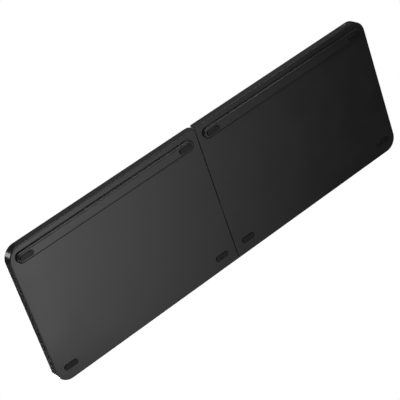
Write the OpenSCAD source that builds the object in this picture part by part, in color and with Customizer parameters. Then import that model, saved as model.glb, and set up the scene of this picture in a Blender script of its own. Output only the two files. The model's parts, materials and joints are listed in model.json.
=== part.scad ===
// Folding keyboard: two thin halves that close on a hinge along the middle seam.
// Millimetres. +X is the typist's right, +Y the rear edge, +Z up. The keys face up.
// The origin is under the seam at mid depth, on the plane that the feet stand on.
// Everything is drawn level, in the case's own frame, and in_place() then leans it
// back on its feet: the rear feet stand on a raised bar and the front feet do not.

/* [Case] */
// Length of the open keyboard, over both halves
open_length = 290; // [276:1:310]
// Depth from the front edge to the rear edge
case_depth = 97; // [95:0.5:104]
// Height of the case wall, without the rear bar
case_height = 6.2; // [6.2:0.1:7.4]
// Gap between the two halves at the seam
seam_gap = 0.4; // [0.3:0.05:0.6]
// Radius of the outer corners, seen from above
corner_radius = 9; // [6:0.5:12]
// Round along the lower edges of the case
edge_radius = 0.6; // [0.3:0.1:0.9]
// Round along the upper edge of each half at the seam
seam_radius = 2.5; // [2.3:0.1:2.8]
// Thickness of the case floor
floor_thickness = 1; // [0.8:0.1:1.2]
// Thickness of the case wall
wall = 1.5; // [1.3:0.1:1.6]
// Width of the inner ledge that carries the key frame
ledge_width = 0.8; // [0.6:0.1:1]

/* [Rear bar] */
// Width of the raised bar under the rear edge
bar_width = 7.2; // [6.4:0.2:8]
// Height of the raised bar below the case floor
bar_height = 1.9; // [1.4:0.1:2.4]
// Round along the lower edge of the bar
bar_edge_radius = 0.8; // [0.5:0.1:1]
// Distance from the rear edge to the middle of the bar
bar_inset = 7.5; // [7:0.1:8.5]
// Bare length left at each end of the bar
bar_end_margin = 4.5; // [4:0.5:8]
// Wall left under the hollow of the bar
bar_wall = 1; // [0.8:0.1:1.2]
// Number of hollow cells inside one bar
bar_cells = 5; // [3:1:8]

/* [Feet] */
// Length of a rubber foot
foot_length = 10; // [8:0.5:12]
// Width of a rubber foot
foot_width = 3.5; // [3.2:0.1:4.2]
// How far a foot stands proud of what it is let into
foot_proud = 0.7; // [0.5:0.1:1]
// Depth of the recess that a foot is glued into
foot_recess = 0.3; // [0.2:0.1:0.4]
// Distance from the outer side to the middle of the outer feet
foot_side_inset = 10.9; // [10.5:0.1:14]
// Distance from the seam to the middle of the inner feet
foot_seam_inset = 11.3; // [11:0.1:13]
// Distance from the front edge to the middle of the front feet
foot_front_inset = 8.8; // [8:0.1:11]

/* [Hinge] */
// Height of the hinge axis above the top of the case
axis_rise = 0.1; // [0.1:0.05:0.3]
// Outer radius of a hinge knuckle
knuckle_radius = 2.2; // [2:0.05:2.3]
// Radius of a hinge pin
pin_radius = 0.8; // [0.6:0.05:0.9]
// Running clearance between a pin and its bores
pin_clearance = 0.03; // [0.02:0.01:0.06]
// Length of one set of three knuckles
hinge_length = 18; // [15:0.5:20]
// Distance from mid depth to the inner end of a set
hinge_start = 20; // [16:0.5:21]
// Gap between neighbouring knuckles
knuckle_gap = 0.3; // [0.2:0.05:0.4]
// Clearance round a knuckle that belongs to the other half
pocket_clearance = 0.25; // [0.2:0.05:0.35]
// Thickness of the upright web of a hinge leaf
leaf_web = 0.8; // [0.6:0.1:1]
// Thickness of the foot plate of a hinge leaf
leaf_plate = 0.5; // [0.4:0.1:0.6]

/* [Keys] */
// Bare margin behind the keys
rear_margin = 6.5; // [6.5:0.1:9]
// Bare margin in front of the keys
front_margin = 3.5; // [3.2:0.1:6]
// Bare margin at each outer side
side_margin = 4.5; // [4:0.1:7]
// Bare margin on each side of the seam
seam_margin = 4; // [4:0.1:6]
// Gap between neighbouring key caps
key_gap = 2; // [1.6:0.1:2.6]
// Clearance between a key cap and its opening
key_clearance = 0.4; // [0.3:0.05:0.5]
// Height of a key cap from skirt to top
cap_height = 1.6; // [1.5:0.05:1.8]
// Depth of the shallow dish in the top of a cap, curved from front to rear
dish_depth = 0.25; // [0.15:0.05:0.3]
// Thickness of a cap's skirt and of its top
cap_wall = 0.7; // [0.6:0.05:0.8]
// How far a cap's sides lean in on their way up
cap_draft = 0.35; // [0.2:0.05:0.5]
// Radius of a cap's corners
cap_corner = 1.2; // [0.8:0.1:1.8]
// Travel of a key
key_travel = 1.2; // [0.8:0.05:1.2]
// How far the key tops lie below the top of the case
key_drop = 0.1; // [0:0.05:0.2]

/* [Inside] */
// Room between the case floor and the key plate
bay_height = 1.6; // [1.6:0.05:1.9]
// Thickness of the stamped key plate
plate_thickness = 0.4; // [0.3:0.05:0.5]
// Thickness of the rubber dome sheet
sheet_thickness = 0.2; // [0.15:0.05:0.3]
// Room between the dome sheet and the webs of the key frame
web_standoff = 0.5; // [0.4:0.05:0.6]
// Thickness of the webs between the keys
web_thickness = 1; // [0.8:0.1:1]
// Radius of a rubber dome at its base
dome_radius = 2.5; // [2:0.1:2.8]
// Length of the battery pouch
battery_length = 52; // [40:1:60]
// Depth of the battery pouch
battery_depth = 30; // [24:1:32]
// Thickness of the battery pouch
battery_thickness = 1.5; // [1.2:0.1:1.5]
// Length of the circuit board along the keyboard
board_length = 42; // [36:1:46]
// Thickness of the circuit board
board_thickness = 0.8; // [0.6:0.1:1]
// Length of a closing magnet
magnet_length = 10; // [6:0.5:14]
// Width of a closing magnet
magnet_width = 3.5; // [3:0.1:3.6]
// Thickness of a closing magnet
magnet_thickness = 1.8; // [1.4:0.1:1.9]
// Distance from the outer side to the USB-C socket
port_side_inset = 14; // [13.5:0.1:20]

/* [Hidden] */
$fn = 48;
// A hair of overlap, a snug gap, the room a cut runs past what it cuts, and a reach past everything
eps = 0.01;
snug = 0.1;
over = 1;
far_side = 400;

// The two halves
half_length = open_length / 2;
half_depth = case_depth / 2;
seam_x = seam_gap / 2;

// Heights in the case's own frame, from the underside up
bay_z = floor_thickness;
plate_z = bay_z + bay_height;
sheet_z = plate_z + plate_thickness;
link_z = sheet_z + sheet_thickness;
frame_z = link_z + web_standoff;
deck_z = frame_z + web_thickness;
frame_top = case_height - snug;
cap_top = case_height - key_drop;
cap_z = cap_top - cap_height;
ceiling_z = cap_top - dish_depth - cap_wall;

// Places of the feet and of the screws above them
bar_y = half_depth - bar_inset;
front_foot_y = foot_front_inset - half_depth;
foot_xs = [foot_seam_inset, half_length - foot_side_inset];
foot_ys = [front_foot_y, bar_y];
function foot_base(y) = y > 0 ? -bar_height : 0;

// The lean that the rear bar gives, and the lift that brings the feet to height 0
lean = atan(bar_height / (bar_y - front_foot_y));
lift = (bar_height + foot_proud) * cos(lean) - bar_y * sin(lean);
centre_shift = (case_height - edge_radius) * sin(lean) / 2;

// Case screws, hidden above the feet: head in the counterbore, shank through the
// boss into a collar. The socket fills the left half's rear outer spot.
LEFT_SPOTS = [for (x = foot_xs, y = foot_ys) if (x == foot_xs[0] || y < 0) [x, y]];
RIGHT_SPOTS = [for (x = foot_xs, y = foot_ys) [x, y]];
screw_radius = 0.8;
screw_head_radius = 1.5;
screw_head_height = 0.7;
boss_radius = 2.5;
collar_radius = 2;
collar_height = 0.8;
screw_hole = screw_radius + snug;
thread_clearance = 0.02;
screw_z = foot_recess;
boss_z = plate_z - collar_height;

// Hinge: each leaf's web stands behind the seam wall, clear of it and of the key frame
axis_z = case_height + axis_rise;
pocket_radius = knuckle_radius + pocket_clearance;
knuckle_length = (hinge_length - 2 * knuckle_gap) / 3;
leaf_clearance = 0.3;
web_x = wall + seam_x + leaf_clearance;
web_top = axis_z - sqrt(pow(pocket_radius, 2) - pow(web_x, 2)) - snug;
plate_edge_x = web_x + leaf_web + 2 * leaf_clearance;
peg_radius = 0.9;
peg_inset = 4;
peg_y = hinge_start + peg_inset;
leaf_margin = 3;

// Cable sleeve in the middle of the hinge line, and the cable that turns in it. The flat
// ribbon leaves the round core at a slant, then drops between the seam wall and the plates.
sleeve_length = 8;
sleeve_bore = 1.2;
sleeve_gap = 0.15;
cable_core = 0.9;
cable_thickness = 0.3;
cable_start = 1;
cable_width = 6;
cable_root = 0.2;
cable_dip = 0.1;
cable_plate_gap = 0.5;
cable_lap = 3;
cable_x = plate_edge_x - cable_plate_gap;

// Keys
units_across = 7.25;
row_count = 5;
pitch_step = 0.04;
// Key pitch, rounded down to a whole step so that quarters of it are short numbers
unit = floor((half_length - seam_margin - side_margin) / units_across / pitch_step) * pitch_step;
row_pitch = (case_depth - rear_margin - front_margin) / row_count;
cap_depth = row_pitch - key_gap;
well_corner = cap_corner + key_clearance + key_gap / 2;
plunger_radius = 1.25;
bump_length = 3.6;
bump_radius = 0.35;
bump_inset = 3;

// Scissor links: two flat frames that cross, the inner one with pivots in the outer one
link_bar = 0.7;
link_thickness = 0.5;
link_width = 12;
link_depth = 10.5;
link_pivot = 0.35;
link_eye = 0.65;
link_gap = 0.3;
link_side_room = 0.35;
link_slack = 0.2;
wide_key = 2;

// Socket, board, battery and magnets, in the left half
port_width = 8.94;
port_height = 3.26;
port_depth = 6.4;
port_shell = 0.3;
port_rise = 2.1;
port_x = half_length - port_side_inset;
port_z = bay_z + port_rise;
port_front_y = half_depth - snug;
port_back_y = port_front_y - port_depth;
port_room = 0.3;
port_tongue = [6.7, 4.6, 0.7];
board_gap = 0.5;
board_side = half_length - wall - ledge_width - board_gap;
board_inner_x = board_side - board_length;
board_rear_y = port_back_y - snug;
board_front_y = -12;
board_z = plate_z - cable_thickness - board_thickness;
post_radius = 1.5;
post_inset = 3;
post_rear_inset = 12;
battery_x = 40;
battery_rear_y = -9;
battery_end_x = battery_x + battery_length;
strip_width = 2.4;
strip_lap = 2;
fence = 0.8;
rib_count = 3;
magnet_gap = 0.5;
magnet_seam_inset = 30;
magnet_side_inset = 33;
magnet_y = half_depth - wall - magnet_gap - magnet_width / 2;
magnet_xs = [magnet_seam_inset, half_length - magnet_side_inset];
magnet_z = frame_z;
// Chips under the board: share of its length, share of its depth, side of the chip
CHIPS = [[0.35, 0.3, 7], [0.7, 0.35, 5], [0.45, 0.62, 4]];

// Keys of one row, outer side first on the left half and seam first on the right:
// the node that a key belongs to, and its width in key units
LEFT_ROWS = [
    concat([["number_keys_left", 1.25]], [for (i = [1:6]) ["number_keys_left", 1]]),
    concat([["modifier_keys_left", 1.75]], [for (c = "qwer") [str("key_", c), 1]], [["key_t", 1.5]]),
    concat([["modifier_keys_left", 2]], [for (c = "asdf") [str("key_", c), 1]], [["key_g", 1.25]]),
    concat([["modifier_keys_left", 2.25]], [for (c = "zxcvb") [str("key_", c), 1]]),
    concat([for (i = [1:3]) ["modifier_keys_left", 1]], [["modifier_keys_left", 1.25], ["space_left", 3]])
];
RIGHT_ROWS = [
    concat([for (i = [1:6]) ["number_keys_right", 1]], [["backspace", 1.25]]),
    concat([for (c = "yuiop") [str("key_", c), 1]], [for (i = [1:3]) ["symbol_keys_right", 0.75]]),
    concat([for (c = "hjkl") [str("key_", c), 1]],
           [["symbol_keys_right", 1], ["symbol_keys_right", 0.75], ["enter", 1.5]]),
    concat([for (c = "nm") [str("key_", c), 1]], [for (i = [1:3]) ["symbol_keys_right", 1]],
           [["arrow_keys", 1], ["modifier_keys_right", 1.25]]),
    concat([["space_right", 2.25]], [for (i = [1:2]) ["modifier_keys_right", 1]],
           [for (i = [1:3]) ["arrow_keys", 1]])
];

function row_start(row, i) = i == 0 ? 0 : row_start(row, i - 1) + row[i - 1][1];
function row_y(r) = half_depth - rear_margin - (r + 0.5) * row_pitch;
// Each key as [node, distance of its middle from the seam plane, y, width in units]
function places(rows, seam_first) = [
    for (r = [0:row_count - 1], i = [0:len(rows[r]) - 1])
        let (middle = row_start(rows[r], i) + rows[r][i][1] / 2)
        [rows[r][i][0], seam_margin + unit * (seam_first ? middle : units_across - middle),
         row_y(r), rows[r][i][1]]
];
LEFT_KEYS = places(LEFT_ROWS, false);
RIGHT_KEYS = places(RIGHT_ROWS, true);
function cap_width(units) = units * unit - key_gap;

KEY_NODES = concat(
    [for (c = "qwertasdfgzxcvbyuiophjklnm") str("key_", c)],
    ["space_left", "space_right", "enter", "backspace", "number_keys_left", "number_keys_right",
     "modifier_keys_left", "modifier_keys_right", "symbol_keys_right", "arrow_keys"]
);

// ---------- placing ----------

// Leans the level case back on its feet
module in_place() {
    translate([0, centre_shift, lift]) rotate([lean, 0, 0]) children();
}

// Halves are drawn on the +X side. The left one is the mirror image.
module left_half() {
    in_place() mirror([1, 0, 0]) children();
}

module right_half() {
    in_place() children();
}

// Extrudes a drawing of the X-Z plane along Y, from one y to another
module along_y(from, to) {
    translate([0, to, 0]) rotate([90, 0, 0]) linear_extrude(to - from) children();
}

// Extrudes a drawing of the Y-Z plane along X, from one x to another
module along_x(from, to) {
    translate([from, 0, 0]) rotate([90, 0, 90]) linear_extrude(to - from) children();
}

// A cylinder round the hinge axis
module on_axis(radius, from, to) {
    along_y(from, to) translate([0, axis_z]) circle(radius);
}

// Repeats a drawing at the four feet of one half
module at_feet() {
    for (x = foot_xs, y = foot_ys) translate([x, y, foot_base(y)]) children();
}

// ---------- outlines ----------

// Rectangle round the origin with rounded corners
module rounded(width, depth, radius) {
    square([width - 2 * radius, depth], center = true);
    square([width, depth - 2 * radius], center = true);
    for (x = [-1, 1], y = [-1, 1])
        translate([x * (width / 2 - radius), y * (depth / 2 - radius)]) circle(radius);
}

// Slot shape round the origin, with half-round ends
module stadium(length, width) {
    square([length - width, width], center = true);
    for (side = [-1, 1]) translate([side * (length - width) / 2, 0]) circle(width / 2);
}

// Wall section with its lower outer corner rounded; the outer side is at x = width
module rounded_section(width, height, radius) {
    translate([0, radius]) square([width, height - radius]);
    square([width - radius, height]);
    translate([width - radius, radius]) circle(radius);
}

// Outline of one half, drawn in from its outer edges and from the seam plane
module half_outline(inset, seam_inset) {
    radius = corner_radius - inset;
    x0 = seam_x + seam_inset;
    x1 = half_length - inset;
    y1 = half_depth - inset;
    translate([x0, -y1]) square([x1 - radius - x0, 2 * y1]);
    translate([x0, radius - y1]) square([x1 - x0, 2 * (y1 - radius)]);
    for (side = [-1, 1]) translate([x1 - radius, side * (y1 - radius)]) circle(radius);
}

// A strip of even thickness along a line of points, mitred at its bends
module strip(points, thickness) {
    last = len(points) - 1;
    function heading(i) = (points[i + 1] - points[i]) / norm(points[i + 1] - points[i]);
    function miter(i) =
        let (before = heading(max(i - 1, 0)), after = heading(min(i, last - 1)), both = before + after)
        [-both.y, both.x] / (1 + before * after) * thickness / 2;
    polygon(concat([for (i = [0:last]) points[i] + miter(i)],
                   [for (i = [last:-1:0]) points[i] - miter(i)]));
}

// ---------- bottom case ----------

// Solid half with rounded corners and lower edges
module case_block() {
    reach = half_length - corner_radius;
    along_x(seam_x, reach) for (side = [0, 1]) mirror([side, 0])
        rounded_section(half_depth, case_height, edge_radius);
    along_y(corner_radius - half_depth, half_depth - corner_radius) translate([seam_x, 0])
        rounded_section(half_length - seam_x, case_height, edge_radius);
    for (side = [-1, 1]) translate([reach, side * (half_depth - corner_radius), 0])
        rotate_extrude() rounded_section(corner_radius, case_height, edge_radius);
}

// Raised bar under the rear edge, with round ends and a rounded lower edge
module bar_block() {
    radius = bar_width / 2;
    x0 = bar_end_margin + radius;
    x1 = half_length - bar_end_margin - radius;
    height = bar_height + floor_thickness;
    translate([0, bar_y, -bar_height]) {
        along_x(x0, x1) for (side = [0, 1]) mirror([side, 0])
            rounded_section(radius, height, bar_edge_radius);
        for (x = [x0, x1]) translate([x, 0, 0])
            rotate_extrude() rounded_section(radius, height, bar_edge_radius);
    }
}

// Hollow cells inside the bar, between its two screw bosses
module bar_hollows() {
    first = foot_xs[0] + boss_radius + bar_wall;
    last = foot_xs[1] - boss_radius - bar_wall;
    pitch = (last - first + fence) / bar_cells;
    width = bar_width - 2 * bar_wall;
    for (i = [0:bar_cells - 1])
        translate([first + i * pitch, bar_y - width / 2, bar_wall - bar_height])
            cube([pitch - fence, width, bar_height + floor_thickness]);
}

// What is cut away to round the upper edge at the seam
module seam_rounding() {
    middle = [seam_x + seam_radius, case_height - seam_radius];
    along_y(-half_depth - over, half_depth + over) difference() {
        translate([-over, middle.y]) square([middle.x + over, seam_radius + over]);
        translate(middle) circle(seam_radius);
    }
}

// Room for the knuckles of both hinge sets
module hinge_pockets(radius) {
    for (side = [-1, 1]) {
        inner = side * (hinge_start - knuckle_gap);
        outer = side * (hinge_start + hinge_length + knuckle_gap);
        on_axis(radius, min(inner, outer), max(inner, outer));
    }
}

// Boss below one hinge leaf's locating peg, with the peg on it
module leaf_pegs() {
    for (side = [-1, 1]) translate([foot_xs[0], side * peg_y, 0]) {
        translate([0, 0, bay_z - eps]) cylinder(r = collar_radius, h = boss_z - leaf_plate - bay_z + eps);
        translate([0, 0, bay_z]) cylinder(r = peg_radius, h = boss_z - bay_z);
    }
}

// Screw bosses; those nearest the seam are lower by the leaf that lies on them
module screw_bosses(spots) {
    for (spot = spots) {
        top = spot.x == foot_xs[0] ? boss_z - leaf_plate : boss_z;
        base = foot_base(spot.y);
        translate([spot.x, spot.y, base]) cylinder(r = boss_radius, h = top - base);
    }
}

// Foot recesses, counterbores for the screw heads and holes for their shanks
module screw_cuts(spots) {
    at_feet() translate([0, 0, -over]) linear_extrude(over + foot_recess)
        stadium(foot_length + 2 * snug, foot_width + 2 * snug);
    head_top = screw_z + screw_head_height;
    for (spot = spots) translate(spot) {
        base = foot_base(spot.y);
        translate([0, 0, base]) cylinder(r = screw_head_radius + snug, h = head_top - base);
        cylinder(r = screw_hole, h = plate_z);
    }
}

// The parts that both bottom cases share. Each half carries one part of the cable sleeve,
// on the seam edge: y_sign tells on which side of mid depth. spots tells where its screws are.
module case_half(y_sign, spots) {
    own_side = [0, y_sign > 0 ? 0 : 1, 0];
    other_side = [0, y_sign > 0 ? 1 : 0, 0];
    difference() {
        union() {
            difference() {
                case_block();
                translate([0, 0, frame_z]) linear_extrude(case_height) half_outline(wall, wall);
                translate([0, 0, bay_z]) linear_extrude(case_height)
                    half_outline(wall + ledge_width, wall);
                seam_rounding();
                hinge_pockets(pocket_radius);
                mirror(other_side) on_axis(pocket_radius, 0, sleeve_length + sleeve_gap);
            }
            difference() {
                bar_block();
                bar_hollows();
            }
            screw_bosses(spots);
            leaf_pegs();
            mirror(own_side) on_axis(knuckle_radius, sleeve_gap, sleeve_length);
        }
        screw_cuts(spots);
        mirror(own_side) {
            on_axis(sleeve_bore, 0, sleeve_length + over);
            along_y(cable_start - snug, cable_start + cable_width + snug)
                strip(cable_line(cable_x, sheet_z), cable_thickness + 4 * snug);
        }
    }
}

// Ribs that carry the middle of the key plate over the empty bay of the right half
module bay_ribs() {
    spacing = (half_length - foot_side_inset) / (rib_count + 1);
    first = spacing + foot_seam_inset / 2;
    height = bay_height + eps;
    for (i = [0:rib_count - 1]) translate([first + i * spacing, front_foot_y, bay_z - eps])
        cube([fence, bar_y - front_foot_y - bar_width, height]);
    for (y = [front_foot_y / 2, 0]) translate([first - spacing / 2, y, bay_z - eps])
        cube([rib_count * spacing, fence, height]);
}

// Fence that keeps the battery in its place
module battery_fence() {
    room = [battery_length, battery_depth] + [2, 2] * snug;
    translate([battery_x + battery_length / 2, battery_rear_y - battery_depth / 2, bay_z - eps])
        linear_extrude(battery_thickness / 2 + eps) difference() {
            square(room + [2, 2] * fence, center = true);
            square(room, center = true);
        }
}

// Posts under the corners of the circuit board
module board_posts() {
    for (x = [board_inner_x + post_inset, board_side - post_inset],
         y = [board_front_y + post_inset, board_rear_y - post_rear_inset])
        translate([x, y, bay_z - eps]) cylinder(r = post_radius, h = board_z - bay_z + eps);
}

module bottom_case_left() {
    color("#26272a") left_half() difference() {
        union() {
            case_half(-1, LEFT_SPOTS);
            battery_fence();
            board_posts();
        }
        translate([port_x, half_depth + over, port_z]) rotate([90, 0, 0])
            linear_extrude(wall + ledge_width + 2 * over)
                stadium(port_width + 2 * snug, port_height + 2 * snug);
    }
}

module bottom_case_right() {
    color("#26272a") right_half() union() {
        case_half(1, RIGHT_SPOTS);
        bay_ribs();
    }
}

// ---------- key frame, plate and dome sheet ----------

// Outline of the key frame, notched where the hinge leaves rise
module frame_outline() {
    difference() {
        half_outline(wall + snug, wall + snug);
        for (side = [0, 1]) mirror([0, side]) translate([0, hinge_start - 2 * knuckle_gap])
            square([web_x + leaf_web + leaf_clearance, hinge_length + 4 * knuckle_gap]);
    }
}

// Bezel and webs round the keys of one half
module key_frame(keys) {
    well = [units_across * unit, row_count * row_pitch];
    difference() {
        union() {
            translate([0, 0, frame_z]) linear_extrude(web_thickness) difference() {
                frame_outline();
                for (key = keys) translate([key[1], key[2]])
                    rounded(cap_width(key[3]) + 2 * key_clearance, cap_depth + 2 * key_clearance,
                        cap_corner + key_clearance);
            }
            translate([0, 0, deck_z - eps]) linear_extrude(frame_top - deck_z + eps) difference() {
                frame_outline();
                translate([seam_margin + well.x / 2, (front_margin - rear_margin) / 2])
                    rounded(well.x, well.y, well_corner);
            }
        }
        seam_rounding();
        sleeve_room = sleeve_length + 2 * sleeve_gap;
        on_axis(pocket_radius, -sleeve_room, sleeve_room);
        along_y(-sleeve_length, sleeve_length)
            strip(cable_line(cable_x, sheet_z), cable_thickness + 8 * snug);
        for (x = magnet_xs) translate([x, magnet_y, magnet_z - over])
            linear_extrude(over + magnet_thickness + snug)
                square([magnet_length, magnet_width] + [2, 2] * snug, center = true);
    }
}

// Studs that hold the webs off the dome sheet
module frame_studs() {
    stud_count = 4;
    spacing = units_across * unit / (stud_count + 1);
    for (r = [1:row_count - 1], i = [1:stud_count])
        translate([seam_margin + i * spacing, row_y(r) + row_pitch / 2, link_z])
            cylinder(r = key_gap / 4, h = web_standoff + eps);
}

// Room for the socket, from the underside of the bezel to the rear edge
module port_notch() {
    width = port_width + 2 * port_room;
    translate([port_x - width / 2, port_back_y - port_room, 0])
        cube([width, far_side, port_z + port_height / 2 + snug]);
}

module key_frame_left() {
    color("#2b2c30") left_half() union() {
        difference() {
            key_frame(LEFT_KEYS);
            port_notch();
        }
        frame_studs();
    }
}

module key_frame_right() {
    color("#2b2c30") right_half() union() {
        key_frame(RIGHT_KEYS);
        frame_studs();
    }
}

// Outline of the key plate and dome sheet, clear of the hinge webs and the ledge
module plate_outline() {
    half_outline(wall + ledge_width + 2 * snug, plate_edge_x - seam_x);
}

// Stamped plate with threaded collars for the case screws
module key_plate(spots) {
    difference() {
        union() {
            translate([0, 0, plate_z]) linear_extrude(plate_thickness) plate_outline();
            for (spot = spots) translate([spot.x, spot.y, boss_z])
                cylinder(r = collar_radius, h = collar_height + eps);
        }
        for (spot = spots) translate([spot.x, spot.y, boss_z - over])
            cylinder(r = screw_radius + thread_clearance, h = over + collar_height + plate_thickness / 2);
    }
}

module key_plate_left() {
    color("#a9acb0") left_half() difference() {
        key_plate(LEFT_SPOTS);
        port_notch();
    }
}

module key_plate_right() {
    color("#a9acb0") right_half() key_plate(RIGHT_SPOTS);
}

// Rubber sheet with one dome under each key: a cone that folds in over the key's travel,
// and a plunger on it that reaches the cap
module dome_sheet(keys) {
    translate([0, 0, sheet_z]) linear_extrude(sheet_thickness) plate_outline();
    for (key = keys) translate([key[1], key[2], link_z - eps]) {
        cylinder(r1 = dome_radius, r2 = plunger_radius, h = key_travel);
        cylinder(r = plunger_radius, h = ceiling_z - link_z);
    }
}

module dome_sheet_left() {
    color("#d8d8d2") left_half() difference() {
        dome_sheet(LEFT_KEYS);
        port_notch();
    }
}

module dome_sheet_right() {
    color("#d8d8d2") right_half() dome_sheet(RIGHT_KEYS);
}

// ---------- scissor links ----------

// One flat link frame, with its two side arms at the given outer width
module link_frame(width) {
    translate([0, 0, -link_thickness / 2]) linear_extrude(link_thickness) difference() {
        square([width, link_depth], center = true);
        square([width - 2 * link_bar, link_depth - 2 * link_bar], center = true);
    }
}

// Two crossed frames that turn on each other and keep a key level
module scissor(width) {
    rise = ceiling_z - link_z;
    angle = asin((rise - link_thickness) / link_depth) - link_slack;
    inner = width - 2 * (link_bar + link_gap);
    translate([0, 0, link_z + rise / 2]) {
        rotate([angle, 0, 0]) difference() {
            union() {
                link_frame(width);
                for (side = [0, 1]) mirror([side, 0, 0])
                    along_x(width / 2 - link_bar, width / 2) circle(link_eye);
            }
            along_x(-width, width) circle(link_pivot + pin_clearance);
        }
        rotate([-angle, 0, 0]) union() {
            link_frame(inner);
            for (side = [0, 1]) mirror([side, 0, 0])
                along_x(inner / 2 - link_bar, width / 2 - snug) circle(link_pivot);
        }
    }
}

// A scissor under each key, and two under a wide one
module scissor_links(keys) {
    for (key = keys) {
        inside = cap_width(key[3]) - 2 * (cap_wall + link_side_room);
        spread = key[3] > wide_key ? [-1, 1] * (cap_width(key[3]) / 4) : [0];
        for (x = spread) translate([key[1] + x, key[2], 0]) scissor(min(link_width, inside));
    }
}

module scissor_links_left() {
    color("#e6e6e6") left_half() scissor_links(LEFT_KEYS);
}

module scissor_links_right() {
    color("#e6e6e6") right_half() scissor_links(RIGHT_KEYS);
}

// ---------- key caps ----------

// Cap with leaning sides, a dished top and a hollow underside
module keycap(width) {
    dish_radius = (pow(cap_depth / 2, 2) + pow(dish_depth, 2)) / (2 * dish_depth);
    inner = [width, cap_depth] - [2, 2] * cap_wall;
    difference() {
        intersection() {
            linear_extrude(cap_height) rounded(width, cap_depth, cap_corner);
            along_y(-cap_depth, cap_depth) polygon([[-width / 2, 0], [width / 2, 0],
                [width / 2 - cap_draft, cap_height], [cap_draft - width / 2, cap_height]]);
            along_x(-width, width) polygon([[-cap_depth / 2, 0], [cap_depth / 2, 0],
                [cap_depth / 2 - cap_draft, cap_height], [cap_draft - cap_depth / 2, cap_height]]);
        }
        along_x(-width, width) translate([0, cap_height + dish_radius - dish_depth])
            circle(dish_radius, $fn = 360);
        translate([0, 0, -over]) linear_extrude(over + cap_height - dish_depth - cap_wall)
            rounded(inner.x, inner.y, cap_corner - cap_wall / 2);
    }
}

// Small rib near the front of the two home keys, which a finger feels for
module home_bump() {
    translate([0, bump_inset - cap_depth / 2, cap_height - bump_radius])
        along_x(-bump_length / 2, bump_length / 2) circle(bump_radius);
}

// Every cap that belongs to one node, on whichever half it sits
module key_node(name) {
    color("#1d1e21") {
        left_half() for (key = LEFT_KEYS) if (key[0] == name)
            translate([key[1], key[2], cap_z]) keycap(cap_width(key[3]));
        right_half() for (key = RIGHT_KEYS) if (key[0] == name)
            translate([key[1], key[2], cap_z]) keycap(cap_width(key[3]));
        left_half() for (key = LEFT_KEYS) if (name == "key_f" && key[0] == name)
            translate([key[1], key[2], cap_z]) home_bump();
        right_half() for (key = RIGHT_KEYS) if (name == "key_j" && key[0] == name)
            translate([key[1], key[2], cap_z]) home_bump();
    }
}

// ---------- hinge ----------

// The stretches of one hinge set along Y: the left half has the two outer
// knuckles of each set and the right half the middle one
function knuckle_from(i) = hinge_start + i * (knuckle_length + knuckle_gap);

// One leaf: knuckles, upright web behind the seam wall and a foot plate on the bosses
module hinge_leaf(knuckles, screw_y) {
    arm_x = pin_radius + leaf_clearance;
    end_y = screw_y + leaf_margin;
    end_x = foot_xs[0] + leaf_margin;
    plate_bottom = boss_z - leaf_plate;
    difference() {
        union() {
            for (i = knuckles) {
                from = knuckle_from(i);
                on_axis(knuckle_radius, from, from + knuckle_length);
                along_y(from, from + knuckle_length) translate([arm_x, web_top - eps])
                    square([web_x + leaf_web - arm_x, frame_top - web_top]);
            }
            along_y(hinge_start, hinge_start + hinge_length) translate([web_x, plate_bottom])
                square([leaf_web, web_top - plate_bottom]);
            translate([web_x, hinge_start, plate_bottom])
                cube([end_x - leaf_margin - web_x, end_y - hinge_start, leaf_plate]);
            translate([web_x, hinge_start + leaf_margin, plate_bottom])
                cube([end_x - web_x, end_y - hinge_start - 2 * leaf_margin, leaf_plate]);
            for (y = [hinge_start + leaf_margin, end_y - leaf_margin])
                translate([end_x - leaf_margin, y, plate_bottom]) cylinder(r = leaf_margin, h = leaf_plate);
        }
        on_axis(pin_radius + pin_clearance, 0, half_depth);
        for (y = [peg_y, screw_y]) translate([foot_xs[0], y, 0])
            cylinder(r = y == peg_y ? peg_radius + snug : screw_hole, h = plate_z);
    }
}

module hinge_leaf_left() {
    color("#8d9096") left_half() {
        hinge_leaf([0, 2], bar_y);
        mirror([0, 1, 0]) hinge_leaf([0, 2], -front_foot_y);
    }
}

module hinge_leaf_right() {
    color("#8d9096") right_half() {
        hinge_leaf([1], bar_y);
        mirror([0, 1, 0]) hinge_leaf([1], -front_foot_y);
    }
}

module hinge_pins() {
    color("#c9ccd0") in_place() for (side = [0, 1]) mirror([0, side, 0])
        on_axis(pin_radius, hinge_start, hinge_start + hinge_length);
}

// ---------- cable ----------

// Centre line of the cable in the X-Z plane, from the axis down to a level inside
function cable_line(x, z) =
    [[cable_root, axis_z - cable_root], [x, axis_z - x - cable_dip], [x, z]];

// Round stretch in the sleeve, then a flat ribbon along the given line
module flex_cable(line) {
    on_axis(cable_core, sleeve_gap / 2, cable_start + cable_width);
    along_y(cable_start, cable_start + cable_width) strip(line, cable_thickness);
}

module flex_cable_left() {
    level = plate_z - cable_thickness / 2;
    line = concat(cable_line(cable_x, level), [[board_inner_x + cable_lap, level]]);
    color("#b9762b") left_half() mirror([0, 1, 0]) flex_cable(line);
}

module flex_cable_right() {
    level = link_z + cable_thickness / 2;
    line = concat(cable_line(cable_x, level), [[seam_margin + key_gap / 4, level]]);
    color("#b9762b") right_half() flex_cable(line);
}

// ---------- board, battery, socket and magnets ----------

// Circuit board with its chips on the underside
module main_board() {
    chip_height = board_z - bay_z - snug;
    board_depth = board_rear_y - board_front_y;
    color("#1f5a3a") left_half() {
        translate([0, 0, board_z]) linear_extrude(board_thickness) intersection() {
            half_outline(wall + ledge_width + board_gap, board_inner_x - seam_x);
            translate([board_inner_x, board_front_y]) square([board_length, board_depth]);
        }
        for (chip = CHIPS)
            translate([board_side - chip.x * board_length, board_front_y + chip.y * board_depth,
                board_z - chip_height])
                cube([chip.z, chip.z, chip_height + eps]);
    }
}

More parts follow.
